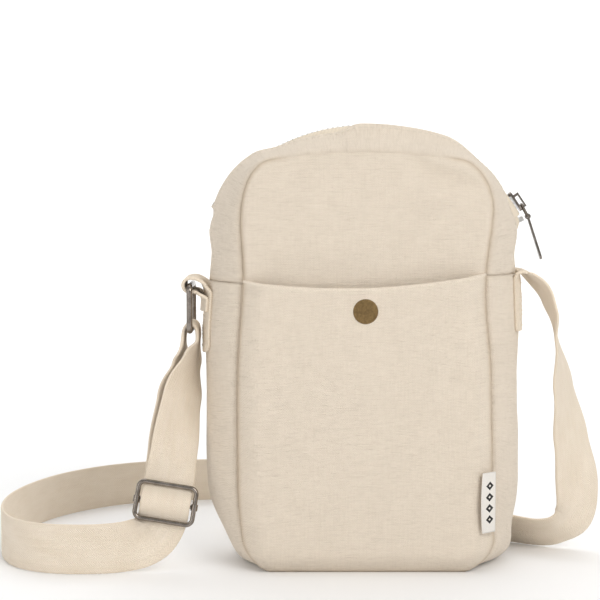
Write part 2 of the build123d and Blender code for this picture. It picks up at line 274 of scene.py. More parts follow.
def canvas_material(name, light, shade, streak=0.5, pitch=0.62):
    shader = Shader(name, roughness=0.92, Sheen_Weight=0.18, Sheen_Roughness=0.5,
                    Specular_IOR_Level=0.2)
    place, across, along = shader.cloth()
    # Thick and thin yarns: long thin streaks, mostly along the weft.
    weft_slubs = shader.noise(shader.stretched(place, 0.10, 1.5), 1.0, 3.0, 0.65)
    fine_weft = shader.noise(shader.stretched(place, 0.32, 2.2), 1.0, 2.0, 0.6)
    warp_slubs = shader.noise(shader.stretched(place, 1.4, 0.10), 1.0, 2.0, 0.55)
    mottle = shader.noise(place, 0.055, 3.0, 0.6)
    tone = shader.ramp(weft_slubs, (0.30, shade), (0.52, light), (0.75, light))
    tone = shader.mix(streak, tone, shader.ramp(fine_weft, (0.3, shade), (0.6, light)))
    tone = shader.mix(0.22, tone, shader.ramp(warp_slubs, (0.3, shade), (0.58, light)))
    soft = scaled(light, 0.955)
    tone = shader.mix(0.35, tone, shader.ramp(mottle, (0.35, soft), (0.62, light)))
    # Seed flecks left in unbleached cotton.
    cells = shader.node("TexVoronoi", {"Vector": shader.stretched(place, 1.0, 1.5), "Scale": 0.16,
                                       "Randomness": 1.0})
    near = shader.ramp(cells.outputs["Distance"], (0.0, 1.0), (0.085, 0.0))
    rare = shader.ramp(cells.outputs["Color"], (0.62, 0.0), (0.72, 1.0))
    fleck = shader.times(near, rare)
    fleck = shader.times(fleck, 0.7)
    tone = shader.mix(fleck, tone, (0.33, 0.24, 0.15))
    weave = plain_weave(shader, across, along, pitch)
    dark = scaled(light, 0.80)
    tone = shader.mix(0.42, tone, shader.ramp(weave, (0.0, dark), (0.45, light)))
    # Painted shade in the seams' creases: the cloth is darkened towards this colour by each point's seam
    # value.
    painted_seam_shade = tuple(c * k for c, k in zip(light, (0.60, 0.52, 0.42)))
    tone = shader.mix(shader.seam_shade(), tone, painted_seam_shade)
    normal = shader.bump(weft_slubs, 0.30)
    normal = shader.bump(fine_weft, 0.24, 1.0, normal)
    normal = shader.bump(weave, 0.26, 1.0, normal)
    return shader.use(Base_Color=tone, Normal=normal)


def webbing_material(name, light, shade):
    """Cotton webbing: herringbone columns of fine diagonal yarns."""
    shader = Shader(name, roughness=0.9, Sheen_Weight=0.15, Specular_IOR_Level=0.2)
    place, across, along = shader.cloth()
    column = shader.math("PINGPONG", across, 2.1)
    slope = shader.math("ADD", column, along)
    ridge = shader.ribs(slope, 1.15)
    valley = shader.ramp(column, (0.0, 0.35), (0.12, 1.0))
    height = shader.times(ridge, valley)
    wear = shader.noise(shader.stretched(place, 0.12, 0.05), 1.0, 4.0, 0.6)
    yarns = shader.noise(shader.stretched(place, 1.6, 0.10), 1.0, 2.0, 0.5)
    tone = shader.ramp(wear, (0.30, shade), (0.62, light))
    tone = shader.mix(0.25, tone, shader.ramp(yarns, (0.35, shade), (0.6, light)))
    dark = scaled(light, 0.78)
    tone = shader.mix(0.32, tone, shader.ramp(height, (0.0, dark), (0.6, light)))
    # The woven edges are a little tighter and darker.
    rim = shader.math("SUBTRACT", shader.math("ABSOLUTE", across), 11.4)
    tone = shader.mix(shader.times(shader.math("GREATER_THAN", rim, 0.0), 0.35), tone, shade)
    normal = shader.bump(height, 0.22)
    return shader.use(Base_Color=tone, Normal=normal)


def tape_material(name, light):
    """Ribbed woven tape."""
    shader = Shader(name, roughness=0.8, Specular_IOR_Level=0.25)
    along = shader.cloth()[2]
    rib = shader.ribs(along, 0.7)
    dark = scaled(light, 0.80)
    tone = shader.ramp(rib, (0.0, dark), (0.7, light))
    return shader.use(Base_Color=tone, Normal=shader.bump(rib, 0.12))


def thread_material(name, light):
    shader = Shader(name, roughness=0.75, Sheen_Weight=0.1)
    place = shader.node("TexCoord").outputs["Object"]
    twist = shader.noise(place, 4200.0, 1.0)
    dark = scaled(light, 0.82)
    tone = shader.ramp(twist, (0.35, dark), (0.6, light))
    return shader.use(Base_Color=tone, Normal=shader.bump(twist, 0.06))


def metal_material(name, light, dark, roughness, patch=900.0, grain=0.02, metallic=1.0):
    """Plated metal with faint stains and rubbed places."""
    shader = Shader(name, roughness=roughness, Metallic=metallic)
    place = shader.node("TexCoord").outputs["Object"]
    stain = shader.noise(place, patch, 4.0, 0.6)
    fine = shader.noise(place, patch * 6, 2.0, 0.5)
    tone = shader.ramp(stain, (0.36, dark), (0.64, light))
    rough = shader.ramp(fine, (0.3, roughness * 0.8), (0.7, min(1.0, roughness * 1.25)))
    return shader.use(Base_Color=tone, Roughness=rough, Normal=shader.bump(fine, grain))


CANVAS_LIGHT = (0.89, 0.785, 0.655)
CANVAS_SHADE = (0.52, 0.42, 0.31)
canvas = canvas_material("canvas_natural", CANVAS_LIGHT, CANVAS_SHADE)
webbing = webbing_material("webbing_cotton", (0.88, 0.775, 0.64), (0.79, 0.675, 0.53))


def tag_material():
    """White cotton tape with a row of small woven diamonds."""
    shader = Shader("tag_cotton", roughness=0.85, Specular_IOR_Level=0.25)
    across, along = shader.cloth()[1:]
    weave = plain_weave(shader, across, along, 0.4)
    tone = shader.ramp(weave, (0.0, (0.74, 0.70, 0.65)), (0.5, (0.90, 0.87, 0.82)))
    # Distance from the nearest diamond's middle; four of them, 5.6 mm apart.
    aside = shader.math("DIVIDE", shader.math("ABSOLUTE", shader.math("SUBTRACT", across, 4.6)), 2.9)
    turn = shader.math("FRACT", shader.math("DIVIDE", along, 5.6))
    from_middle = shader.math("ABSOLUTE", shader.math("SUBTRACT", turn, 0.5))
    distance = shader.math("ADD", aside, shader.times(from_middle, 5.6 / 2.2))
    solid = shader.math("LESS_THAN", distance, 1.0)
    hollow = shader.math("GREATER_THAN", distance, 0.30)
    within = shader.math("LESS_THAN", shader.math("ABSOLUTE", along), 11.2)
    print_mask = shader.times(shader.times(solid, hollow), within)
    tone = shader.mix(print_mask, tone, (0.035, 0.033, 0.032))
    return shader.use(Base_Color=tone, Normal=shader.bump(weave, 0.10))


tag_cotton = tag_material()
zip_tape = tape_material("zip_tape_cotton", (0.84, 0.74, 0.60))
thread = thread_material("thread_cotton", (0.80, 0.72, 0.60))
silver = metal_material("zip_metal", (0.74, 0.73, 0.70), (0.52, 0.51, 0.49), 0.30)
gunmetal = metal_material("gunmetal", (0.30, 0.265, 0.235), (0.20, 0.175, 0.15), 0.22, patch=260.0,
                          grain=0.004)
brass = metal_material("old_brass", (0.27, 0.18, 0.08), (0.18, 0.12, 0.055), 0.48)


def binding_material():
    shader = Shader("binding_tape", roughness=0.85)
    place = shader.node("TexCoord").outputs["Object"]
    rib = shader.node("TexWave", {"Vector": place, "Scale": 700.0, "Distortion": 0.4},
                      wave_type="BANDS", bands_direction="DIAGONAL").outputs["Fac"]
    tone = shader.ramp(rib, (0.2, (0.60, 0.52, 0.41)), (0.8, (0.74, 0.66, 0.54)))
    return shader.use(Base_Color=tone, Normal=shader.bump(rib, 0.1))


binding = binding_material()


# ---- the bag's outlines ----

def curve_points(start, end, start_lean, end_lean, count):
    """Points from start towards end, leaving and arriving along the two leans."""
    start, end = np.array(start, float), np.array(end, float)
    chord = np.linalg.norm(end - start)
    leave = chord * np.array(start_lean, float) / np.linalg.norm(start_lean)
    arrive = chord * np.array(end_lean, float) / np.linalg.norm(end_lean)
    t = np.linspace(0, 1, count, endpoint=False)[:, None]
    return ((2 * t**3 - 3 * t**2 + 1) * start + (t**3 - 2 * t**2 + t) * leave
            + (3 * t**2 - 2 * t**3) * end + (t**3 - t**2) * arrive)


def outline(half, low, foot, high, crown_half, crown_low, crown_top):
    """A closed outline in X and Z, from the middle of the base round by the right."""
    rise = crown_top - crown_low
    radius = (crown_half**2 + rise**2) / (2 * rise)
    swing = math.asin(crown_half / radius)
    lean = (-math.cos(swing), math.sin(swing))
    angles = np.linspace(swing, 0, 200, endpoint=False)
    crown = np.stack([radius * np.sin(angles), crown_top - radius + radius * np.cos(angles)], 1)
    right = np.concatenate([
        curve_points((0, 0), (foot, 0), (1, 0), (1, 0), 120),
        curve_points((foot, 0), (half, low), (1, 0), (0, 1), 120),
        curve_points((half, low), (half, high), (0, 1), (0, 1), 300),
        curve_points((half, high), (crown_half, crown_low), (0, 1), lean, 160),
        crown,
    ])
    left = right[1:][::-1] * (-1, 1)
    return np.concatenate([right, [(0, crown_top)], left])


def bell(z, centre, width):
    return np.exp(-((z - centre) / width) ** 2)


def drawn_in(edge, right, left):
    """The outline with its sides moved out by sums of (amount, height, spread), as worn cloth lies."""
    x, z = edge[:, 0], edge[:, 1]
    side = smooth_step(abs(x) / 45)
    move_right = sum(amount * bell(z, height, spread) for amount, height, spread in right)
    move_left = sum(amount * bell(z, height, spread) for amount, height, spread in left)
    return np.stack([x + side * np.where(x > 0, move_right, -move_left), z], 1)


panel_edge = drawn_in(outline(62.5, 18.0, 44.0, 166.0, 46.0, 205.5, 209.0),
                      ((-3.4, 139, 26), (2.2, 188, 15), (0.9, 45, 30), (2.6, 8, 15)),
                      ((-2.6, 146, 28), (0.3, 80, 30), (-1.8, 14, 14)))
middle_edge = drawn_in(outline(80.0, 46.0, 58.0, 143.0, 60.0, 204.5, 224.0),
                       ((-1.9, 158, 22), (-0.8, 100, 40), (5.6, 5, 10)),
                       ((-2.0, 160, 24), (-4.6, 13, 15)))


def cut_at_join(edge, count_top, count_low):
    """The outline's part over the crown, from right to left, and its part under, from left to right."""
    top = int(np.argmax(edge[:, 1]))
    order = np.arange(len(edge))
    right = int(np.argmin(np.where(order < top, abs(edge[:, 1] - JOIN_Z), 1e9)))
    left = int(np.argmin(np.where(order > top, abs(edge[:, 1] - JOIN_LEFT_Z), 1e9)))
    over = edge[right:left + 1]
    under = np.concatenate([edge[left:], edge[:right + 1]])
    return evenly(over, count_top), evenly(under, count_low)


panel_rim = evenly(np.concatenate([panel_edge, panel_edge[:1]]), 361)
TOP_ROWS = 191
LOW_ROWS = 281
panel_over, panel_under = cut_at_join(panel_edge, TOP_ROWS, LOW_ROWS)
middle_over, middle_under = cut_at_join(middle_edge, TOP_ROWS, LOW_ROWS)


def zip_swell(outlined):
    """How far the gusset's middle has to stand out to reach the zip's arc."""
    from_centre = outlined - (0, ARC_Z)
    elevation = np.degrees(np.arctan2(from_centre[:, 1], abs(from_centre[:, 0])))
    right = outlined[:, 0] > 0
    # Low on the arc, and all over its left, the teeth stand a little proud of the cloth.
    low = smooth_step((48 - elevation) / 16)
    wanted = ARC_R + np.where(right, 0.6 - 2.5 * low, -0.7 - 1.3 * low)
    short = wanted - np.linalg.norm(from_centre, axis=1)
    return np.clip(short, 0, None) * smooth_step((elevation - 18) / 14)


def gusset_points(panel, middle, v, swell=None):
    """The gusset at v across it, -1 at the front seam and 1 at the back seam."""
    v = np.asarray(v, float)
    out = 1 - v**2
    spot = panel[:, None, :] + (middle - panel)[:, None, :] * out[..., None]
    if swell is not None:
        away = unit(middle - (0, ARC_Z))
        spot = spot + away[:, None, :] * (swell[:, None] * out**3)[..., None]
    y = np.broadcast_to(SEAM_Y * v, spot.shape[:2])
    return np.stack([spot[..., 0], y, spot[..., 1]], 2)


# Painted shade in the creases: SEAM_DARKEST at the panels' seams, JOIN_DARK at the join between the gussets.
SEAM_DARKEST = 0.75
SEAM_ROLL = (3.2, 1.7)   # width and depth of the gusset's dip at a panel's seam
JOIN_ROLL = (2.4, 0.5)   # and at the seam between the two gussets
JOIN_DARK = 0.22


def seam_roll(distance, width, depth):
    """How far cloth dips at a seam, this far from it: it rolls over, then stands a little proud."""
    roll = depth * np.clip(1 - distance / width, 0, 1) ** 2
    return roll - 0.22 * bell(distance, 1.5 * width, 0.7 * width)


# Painted shade beside a seam, fading with the distance from it.
def seam_dark(distance, width=1.3):
    return np.exp(-(distance / width) ** 1.6)


def seam_strength(x, z):
    """The front and back seams lie almost flat along the crown."""
    flat = smooth_step((z - 198) / 6) * smooth_step((47 - abs(x)) / 10)
    return 1 - 0.85 * flat


def seams_of(panel, along, from_seam):
    """For cloth between a panel's seam and two joins: the seam's strength, the distance from the
    nearer join, how far the cloth dips and how much painted shade the seam's crease puts on it."""
    strength = seam_strength(panel[:, 0], panel[:, 1])
    from_join = np.minimum(along, along[-1] - along)
    dip = strength[:, None] * seam_roll(from_seam, *SEAM_ROLL) + seam_roll(from_join, *JOIN_ROLL)[:, None]
    dark = np.maximum(strength[:, None] * seam_dark(from_seam), JOIN_DARK * seam_dark(from_join)[:, None])
    return strength, from_join, dip, dark


def outward(points, normals):
    """Normals turned away from the bag's middle."""
    away = points.copy()
    away[..., 2] = points[..., 2] - np.clip(points[..., 2], 40, 150)
    sign = np.sign((normals * away).sum(2, keepdims=True))
    return normals * np.where(sign == 0, 1, sign)


def turned_edge(last, up, ahead):
    """A sheet's edge turned over a half circle, from its face, which looks up, to beneath it."""
    return [last + FOLD_R * (up * (math.cos(a) - 1) + ahead * math.sin(a))
            for a in np.radians(range(30, 181, 30))]


# ---- lower gusset: sides and base ----

GUSSET_ARCH = 1.15       # the gusset's way across is this much longer than straight
gusset_skin = []         # the finished gusset's points, for the pieces sewn on it


def make_lower_gusset():
    near_seam = np.array([0, 0.015, 0.035, 0.06, 0.09, 0.13])
    v = np.concatenate([-1 + near_seam, np.linspace(-0.8, 0.8, 25), 1 - near_seam[::-1]])
    points = gusset_points(panel_under, middle_under, v)
    normals = outward(points, grid_normals(points))
    along = path_lengths(middle_under)
    from_seam = (1 - abs(v)) * SEAM_Y * GUSSET_ARCH
    _, from_join, dip, dark = seams_of(panel_under, along, from_seam)
    # Puckers where the cloth is gathered by the seams.
    pucker = np.sin(along * math.tau / 7.3 + 2.2 * np.sin(along / 13.0))[:, None]
    pucker = pucker * np.exp(-from_seam / 5.0)[None, :] * smooth_step(from_join / 6)[:, None]
    swell = 0.7 * ripple(points, 34.0, 3.1) + 0.22 * ripple(points, 11.0, 8.7)
    above = smooth_step(points[..., 2] / 12)
    move = -dip + (0.20 * pucker + swell * (1 - np.abs(v)**6)[None, :]) * above
    points = points + normals * move[..., None]
    points[..., 2] = np.maximum(points[..., 2], 0.05)
    gusset_skin.append(points)
    piece = grid_piece("gusset_lower", points, uv_grid(v * SEAM_Y * 1.12, along))
    shade_seams(piece, SEAM_DARKEST * dark)
    finish_piece(thicken(piece, CLOTH), canvas, "bag", ("lower_gusset",))
    return piece


# ---- zip gusset: two strips with turned edges beside the zip ----

LIPS = ((-1, "front_lip", "front"), (1, "back_lip", "back"))


def edge_lift(x, z, side):
    """How far a strip's edge stands up: it shows the teeth only on the left of the crown."""
    lift = 3.9 * smooth_step((x + 16) / 14) * smooth_step((62 - x) / 22)
    lift = lift + 2.2 * smooth_step((-x - 44) / 12) * smooth_step((z - 176) / 6)
    return lift if side < 0 else 0.4 * lift


def strip_edge(panel, middle, swell):
    """Where each row of a strip ends: v just outside the zip's tape."""
    edge = np.full(len(panel), 0.0)
    reach = 6.35
    for _ in range(30):
        here = gusset_points(panel, middle, -edge[:, None], swell)[:, 0]
        above = np.clip(here[:, 2] - MOUTH_Z, 0, None)
        wanted = (reach + above * math.sin(MOUTH_LEAN)) / math.cos(MOUTH_LEAN)
        edge = 0.5 * edge + 0.5 * wanted / SEAM_Y
    return edge


def make_zip_strip(side, name, stands_for):
    swell = zip_swell(middle_over)
    edge = strip_edge(panel_over, middle_over, swell)
    share = np.concatenate([[0, 0.02, 0.045, 0.08, 0.13], np.linspace(0.2, 0.94, 17), [0.97, 1.0]])
    v = side * (1 - share[None, :] * (1 - edge[:, None]))
    flat = np.stack([gusset_points(panel_over, middle_over, v[:, k:k + 1], swell)[:, 0]
                     for k in range(v.shape[1])], 1)
    normals = outward(flat, grid_normals(flat))
    along = path_lengths(middle_over)
    from_seam = (1 - abs(v)) * SEAM_Y * GUSSET_ARCH
    strength, _, dip, dark = seams_of(panel_over, along, from_seam)
    dip = dip - edge_lift(middle_over[:, 0], middle_over[:, 1], side)[:, None] * share[None, :] ** 2
    pucker = np.sin(along * math.tau / 8.1 + 1.7 * np.sin(along / 17.0))[:, None]
    pucker = pucker * np.exp(-from_seam / 5.0) * strength[:, None]
    wave = 0.5 * ripple(flat, 30.0, 5.5) * smooth_step(from_seam / 8)
    points = flat + normals * (-dip + 0.16 * pucker + wave)[..., None]
    # The edge turns under, towards the zip, and lies back beneath itself.
    normals = outward(points, grid_normals(points))
    last, up = points[:, -1], normals[:, -1]
    ahead = unit(points[:, -1] - points[:, -2])
    turn = turned_edge(last, up, ahead)
    under = [points[:, k] - 2 * FOLD_R * normals[:, k] for k in range(-2, -8, -1)]
    points = np.concatenate([points, np.stack(turn + under, 1)], 1)
    steps = np.linalg.norm(np.diff(points, axis=1), axis=2)
    across = np.concatenate([np.zeros((len(points), 1)), np.cumsum(steps, axis=1)], 1)
    uv = np.stack([across, np.broadcast_to(along[:, None], across.shape)], 2)
    piece = grid_piece(name, points, uv, flip=side > 0)
    folded = points.shape[1] - dark.shape[1]
    shade_seams(piece, np.concatenate([SEAM_DARKEST * dark, np.zeros((len(dark), folded))], 1))
    thicken(piece, CLOTH)
    finish_piece(piece, canvas, stands_for=stands_for)
    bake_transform(piece)
    # Where a row of stitches runs beside the turned edge, and the way the cloth faces there.
    seat = -4
    return points[:, :len(share)][:, seat], normals[:, seat]


# ---- front and back panels ----

def ring_fill(edge, depths, rings, core_low, core_high):
    """Points that fill an outline, ring by ring, from its edge to a line down its middle."""
    # A point and its mirror on the other side meet at one height, so no crack is left.
    heights = (edge[:, 1] + edge[::-1, 1]) / 2
    core = np.stack([np.zeros(len(edge)), np.clip(heights, core_low, core_high)], 1)
    span = np.linalg.norm(core - edge, axis=1)
    shares = [np.minimum(d / span, 0.9) for d in depths]
    last = shares[-1]
    shares += [last + (1 - last) * inner for inner in np.linspace(0, 1, rings + 1)[1:]]
    shares = np.stack(shares, 1)
    return edge[:, None, :] + (core - edge)[:, None, :] * shares[..., None], shares * span[:, None]


def weld(piece, distance=0.05):
    """Joins points that lie on each other."""
    work = bmesh.new()
    work.from_mesh(piece.data)
    bmesh.ops.remove_doubles(work, verts=work.verts, dist=distance * MM)
    work.to_mesh(piece.data)
    work.free()
    piece.data.shade_smooth()


def crease(x, z, path, width, depth):
    """A soft valley along a path of (x, z) points that fades at both ends."""
    best = np.full(x.shape, 1e9)
    fade = np.zeros(x.shape)
    lengths = path_lengths(np.array(path, float))
    for k in range(len(path) - 1):
        a, b = np.array(path[k], float), np.array(path[k + 1], float)
        step = b - a
        t = np.clip(((x - a[0]) * step[0] + (z - a[1]) * step[1]) / (step @ step), 0, 1)
        gap = np.hypot(x - a[0] - t * step[0], z - a[1] - t * step[1])
        nearer = gap < best
        where = (lengths[k] + t * (lengths[k + 1] - lengths[k])) / lengths[-1]
        best = np.where(nearer, gap, best)
        fade = np.where(nearer, np.sin(math.pi * np.clip(where, 0, 1)) ** 0.7, fade)
    return depth * fade * np.exp(-(best / width) ** 2)


def make_panel(side, name, node):
    flat, depth = ring_fill(panel_rim, (0, 0.5, 1.1, 1.9, 2.9, 4.2, 6.0, 8.5), 15, 62.0, 140.0)
    x, z = flat[..., 0], flat[..., 1]
    face = np.stack([x, np.zeros_like(x), z], 2)
    strength = seam_strength(panel_rim[:, 0], panel_rim[:, 1])[:, None]
    out = 1.4 - strength * seam_roll(depth, 3.2, 2.0)
    along = path_lengths(panel_rim)[:, None]
    pucker = np.sin(along * math.tau / 7.7 + 2.0 * np.sin(along / 15.0 + 1.0))
    out = out + 0.18 * pucker * np.exp(-depth / 4.5) * strength
    loose = smooth_step(depth / 14)
    calm = 1.0 if side > 0 else 1 - 0.8 * np.exp(-((x / 14) ** 2 + ((z - SNAP_Z) / 14) ** 2))
    out = out + loose * calm * (0.75 * ripple(face, 46.0, 1.7 + side) + 0.25 * ripple(face, 14.0, 4.4))
    if side < 0:
        out = out - crease(x, z, ((22, 205), (29, 200.5), (42, 194.8), (59, 190.5)), 3.4, 2.6)
        out = out + crease(x, z, ((26, 207.5), (38, 203.5), (50, 199), (58, 195)), 3.6, 1.5)
        out = out + crease(x, z, ((14, 197), (30, 191), (44, 186), (58, 182)), 7.0, 1.2)
        out = out - crease(x, z, ((-58, 160), (-40, 153), (-16, 150), (6, 151)), 7.0, 0.9)
    y = side * (SEAM_Y + out)
    points = np.stack([x, y, z], 2)
    points[..., 2] = np.maximum(points[..., 2], 0.05)
    piece = grid_piece(name, points, flat, flip=side < 0)
    shade_seams(piece, SEAM_DARKEST * strength * seam_dark(depth))
    weld(piece)
    thicken(piece, CLOTH)
    finish_piece(piece, canvas, "bag", (node,))
    return piece


# ---- front pocket ----

def pocket_top_edge(x):
    """Height of the pocket's mouth: it sags in the middle and stands higher at the right."""
    t = np.clip((x + 62.5) / 125, 0, 1)
    return 144.6 - 4.6 * np.sin(math.pi * t) ** 0.9 + 3.6 * t**1.5


def make_pocket():
    top = int(np.argmax(panel_edge[:, 1]))
    right, left = panel_edge[:top], panel_edge[top + 1:][::-1]
    heights = np.concatenate([[0, 0.004, 0.01, 0.018, 0.028, 0.042, 0.06],
                              np.linspace(0.085, 0.95, 44), [0.965, 0.98, 0.99, 1.0]])
    near_side = np.array([0.9, 0.935, 0.96, 0.977, 0.99, 1])
    across = np.concatenate([-near_side[::-1], np.linspace(-0.86, 0.86, 47), near_side])
    low = 0.6
    share, t = np.meshgrid(heights, across, indexing="ij")
    # Rows are curved like the base at the bottom and like the mouth at the top.
    z_mouth = pocket_top_edge(across * 62.5)
    z = low + share * (z_mouth[None, :] - low)
    limit = np.where(t > 0, np.interp(z, right[:, 1], right[:, 0]), -np.interp(z, left[:, 1], left[:, 0]))
    limit = limit - 0.25
    x = t * limit
    side_gap = (1 - abs(t)) * limit
    from_edge = np.minimum(side_gap, z - low)
    face = np.stack([x, np.zeros_like(x), z], 2)
    puff = smooth_step(from_edge / 10.5)
    # It starts in the seam's crease and swells to its face.
    roll = seam_roll(from_edge, 3.0, 1.3)
    lift = 1.7 - roll + (POCKET_FACE - SEAM_Y - 1.7) * puff
    calm = 1 - 0.9 * np.exp(-((x / 13) ** 2 + ((z - SNAP_Z) / 13) ** 2))
    wave = 0.55 * ripple(face, 50.0, 12.3) + 0.22 * ripple(face, 16.0, 2.9)
    pucker = np.sin(z * math.tau / 8.3 + 1.9 * np.sin(z / 12.0)) * np.exp(-from_edge / 5.0)
    lift = lift + puff * calm * wave + 0.15 * pucker * (1 - puff)
    points = np.stack([x, -(SEAM_Y + lift), z], 2)
    inward = np.array([0.0, 1.0, 0.0])
    top = points[-1]
    turn = turned_edge(top, -inward, unit(points[-1] - points[-2]))
    hem = []
    for down in (1.5, 3.0, 4.5, 6.0):
        lower = top + 2 * FOLD_R * inward
        lower[:, 2] -= down
        hem.append(lower)
    points = np.concatenate([points, np.stack(turn + hem, 0)], 0)
    rows = points.shape[0]
    run = np.concatenate([np.zeros((1, points.shape[1])),
                          np.cumsum(np.linalg.norm(np.diff(points, axis=0), axis=2), axis=0)], 0)
    uv = np.stack([np.broadcast_to(points[:, :, 0], run.shape), run], 2)
    piece = grid_piece("pocket_cloth", points, uv, flip=True)
    hem_rows = rows - from_edge.shape[0]
    hem_dark = np.zeros((hem_rows, len(across)))
    shade_seams(piece, np.concatenate([SEAM_DARKEST * seam_dark(from_edge), hem_dark], 0))
    thicken(piece, CLOTH)
    finish_piece(piece, canvas, stands_for=("pocket_front", "pocket_hem", "pocket_edge"))
    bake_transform(piece)
    # Where the hem's stitches run.
    face_rows = points[:len(heights)]
    line = [[np.interp(z_mouth[k] - 4.6, face_rows[:, k, 2], face_rows[:, k, axis]) for axis in range(3)]
            for k in range(2, len(across) - 2)]
    return np.array(line)


make_lower_gusset()
strip_stitches = {}
for (side, lip, name), gusset in zip(LIPS, ("zip_gusset_left", "zip_gusset_right")):
    replaced = ("zip_strip_" + name, gusset)
    strip_stitches[side] = make_zip_strip(side, "zip_strip_cloth_" + name, replaced)
for side, _, name in LIPS:
    make_panel(side, name + "_cloth", name + "_panel")
hem_line = make_pocket()


# ---- binding over the seam allowances, inside the bag ----

BINDING_SECTION = ((3.0, 1.0), (3.0, 5.2), (3.3, 5.6), (4.0, 5.6), (4.3, 5.2), (4.3, 1.0), (4.0, 0.6),
                   (3.3, 0.6))


def make_binding(side, name, node):
    along = unit(np.gradient(panel_rim, axis=0))
    inward = np.stack([-along[:, 1], along[:, 0]], 1)
    spots = np.stack([panel_rim + inward * inset for inset, _ in BINDING_SECTION], 1)
    y = np.array([side * (SEAM_Y - depth) for _, depth in BINDING_SECTION])
    points = np.stack([spots[..., 0], np.broadcast_to(y, spots.shape[:2]), spots[..., 1]], 2)
    rows, cols = points.shape[:2]
    uv = uv_grid(np.arange(cols), path_lengths(panel_rim))
    piece = mesh_piece(name, points.reshape(-1, 3), grid_faces(rows, cols, wrap=True, flip=side < 0),
                       uv.reshape(-1, 2))
    finish_piece(piece, binding, "bag", (node,))


for side, _, name in LIPS:
    make_binding(side, "binding_cloth_" + name, "seam_binding_" + name)


# ---- stitches ----

def stitch_row(name, line, normals, slot, pitch=3.0, share=0.74, radius=0.26):
    """A row of thread stitches that dip into the cloth at their ends. The caller moves it."""
    reach = path_lengths(line)
    points, faces = [], []
    sides = 6
    heights = (-0.28, 0.05, 0.16, 0.05, -0.28)
    for k in range(int(reach[-1] / pitch)):
        stations = k * pitch + share * pitch * np.linspace(0, 1, len(heights))
        spots = at_lengths(line, reach, stations)
        up = unit(at_lengths(normals, reach, stations[2:3])[0])
        ahead = unit(spots[-1] - spots[0])
        sideways = np.cross(up, ahead)
        first = len(points)
        for spot, height in zip(spots, heights):
            for a in np.arange(sides) * math.tau / sides:
                points.append(spot + up * (height + radius * math.sin(a)) + sideways * radius * math.cos(a))
        for row, col in ((r, c) for r in range(len(heights) - 1) for c in range(sides)):
            after = (col + 1) % sides
            low, high = first + row * sides, first + (row + 1) * sides
            faces.append((low + col, low + after, high + after, high + col))
        faces.append(tuple(first + c for c in range(sides))[::-1])
        faces.append(tuple(first + (len(heights) - 1) * sides + c for c in range(sides)))
    piece = mesh_piece(name, points, faces)
    return finish_piece(piece, thread)


for side, lip, name in LIPS:
    row = stitch_row("strip_stitches_" + name, *strip_stitches[side], "canvas")
    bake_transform(row)
row = stitch_row("hem_stitches", hem_line, np.tile((0.0, -1.0, 0.0), (len(hem_line), 1)), "canvas")
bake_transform(row)


# ---- zip: tapes and teeth ----

def lean(points, side):
    """Points of a closed lip, turned about the lips' axis to where the open one stands."""
    y, z = points[..., 1], points[..., 2] - MOUTH_Z
    cos, sin = math.cos(MOUTH_LEAN), math.sin(MOUTH_LEAN)
    return np.stack([points[..., 0], y * cos + side * z * sin, MOUTH_Z - side * y * sin + z * cos], -1)


TAPE_THICK = 0.55
# How far from the zip's middle each line of the tape runs, and its radius on the arc.
TAPE_LINES = ((2.2, 90.9), (2.5, 91.35), (3.0, 91.45), (3.5, 91.0), (4.2, 90.4), (5.0, 89.4), (5.8, 88.2),
              (6.8, 87.1), (8.6, 86.2), (11.5, 85.2))


def make_tape(side, name, lip, node):
    angles = np.radians(np.linspace(30.4, 146.8, 280))
    reach = np.array([w for w, _ in TAPE_LINES])
    radius = np.array([r for _, r in TAPE_LINES])
    raised = edge_lift(ARC_R * np.cos(angles), ARC_Z + ARC_R * np.sin(angles), side)
    raised = raised[:, None] * smooth_step((reach - 3.4) / 3.2)
    radius = radius[None, :] + 0.92 * raised
    x = radius * np.cos(angles)[:, None]
    z = ARC_Z + radius * np.sin(angles)[:, None]
    y = np.broadcast_to(side * reach, x.shape)
    points = lean(np.stack([x, y, z], 2), side)
    piece = grid_piece(name, points, uv_grid(reach, ARC_R * angles), flip=side > 0)
    thicken(piece, TAPE_THICK)
    finish_piece(piece, zip_tape, lip, (node,))


# A tooth's sections: distance from the zip's middle, half its width along the arc, half its height.
TOOTH_SECTIONS = ((0.55, 0.42, 0.70), (0.62, 0.60, 0.98), (0.95, 0.675, 1.10), (1.35, 0.64, 1.06),
                  (1.75, 0.40, 0.80), (2.15, 0.42, 0.88), (2.5, 0.62, 1.08), (3.1, 0.62, 1.08),
                  (3.4, 0.40, 0.85))
ROUNDED = ((1, 0.45), (0.55, 1), (-0.55, 1), (-1, 0.45), (-1, -0.45), (-0.55, -1), (0.55, -1), (1, -0.45))


def make_teeth(side, name, lip, node):
    step = (LAST_TOOTH - FIRST_TOOTH) / (TOOTH_COUNT - 1)
    points, faces = [], []
    rows, cols = len(TOOTH_SECTIONS), len(ROUNDED)
    for k in range(TOOTH_COUNT):
        angle = math.radians(FIRST_TOOTH + side * step / 4 + k * step)
        out = np.array([math.cos(angle), 0, math.sin(angle)])
        ahead = np.array([-math.sin(angle), 0, math.cos(angle)])
        centre = np.array([0, 0, ARC_Z]) + out * ARC_R
        first = len(points)
        for reach, half, height in TOOTH_SECTIONS:
            for a, b in ROUNDED:
                points.append(centre + np.array([0, side * reach, 0]) + ahead * a * half + out * b * height)
        for face in grid_faces(rows, cols, wrap=True, flip=side < 0):
            faces.append(tuple(first + f for f in face))
        caps = [tuple(first + row * cols + c for c in range(cols)) for row in (0, rows - 1)]
        faces.append(caps[0] if side > 0 else caps[0][::-1])
        faces.append(caps[1][::-1] if side > 0 else caps[1])
    piece = mesh_piece(name, lean(np.array(points), side), faces)
    finish_piece(piece, silver, lip, (node,))


for side, lip, name in LIPS:
    make_tape(side, "zip_tape_cloth_" + name, lip, "zip_tape_" + name)
    make_teeth(side, "zip_teeth_metal_" + name, lip, "zip_teeth_" + name)


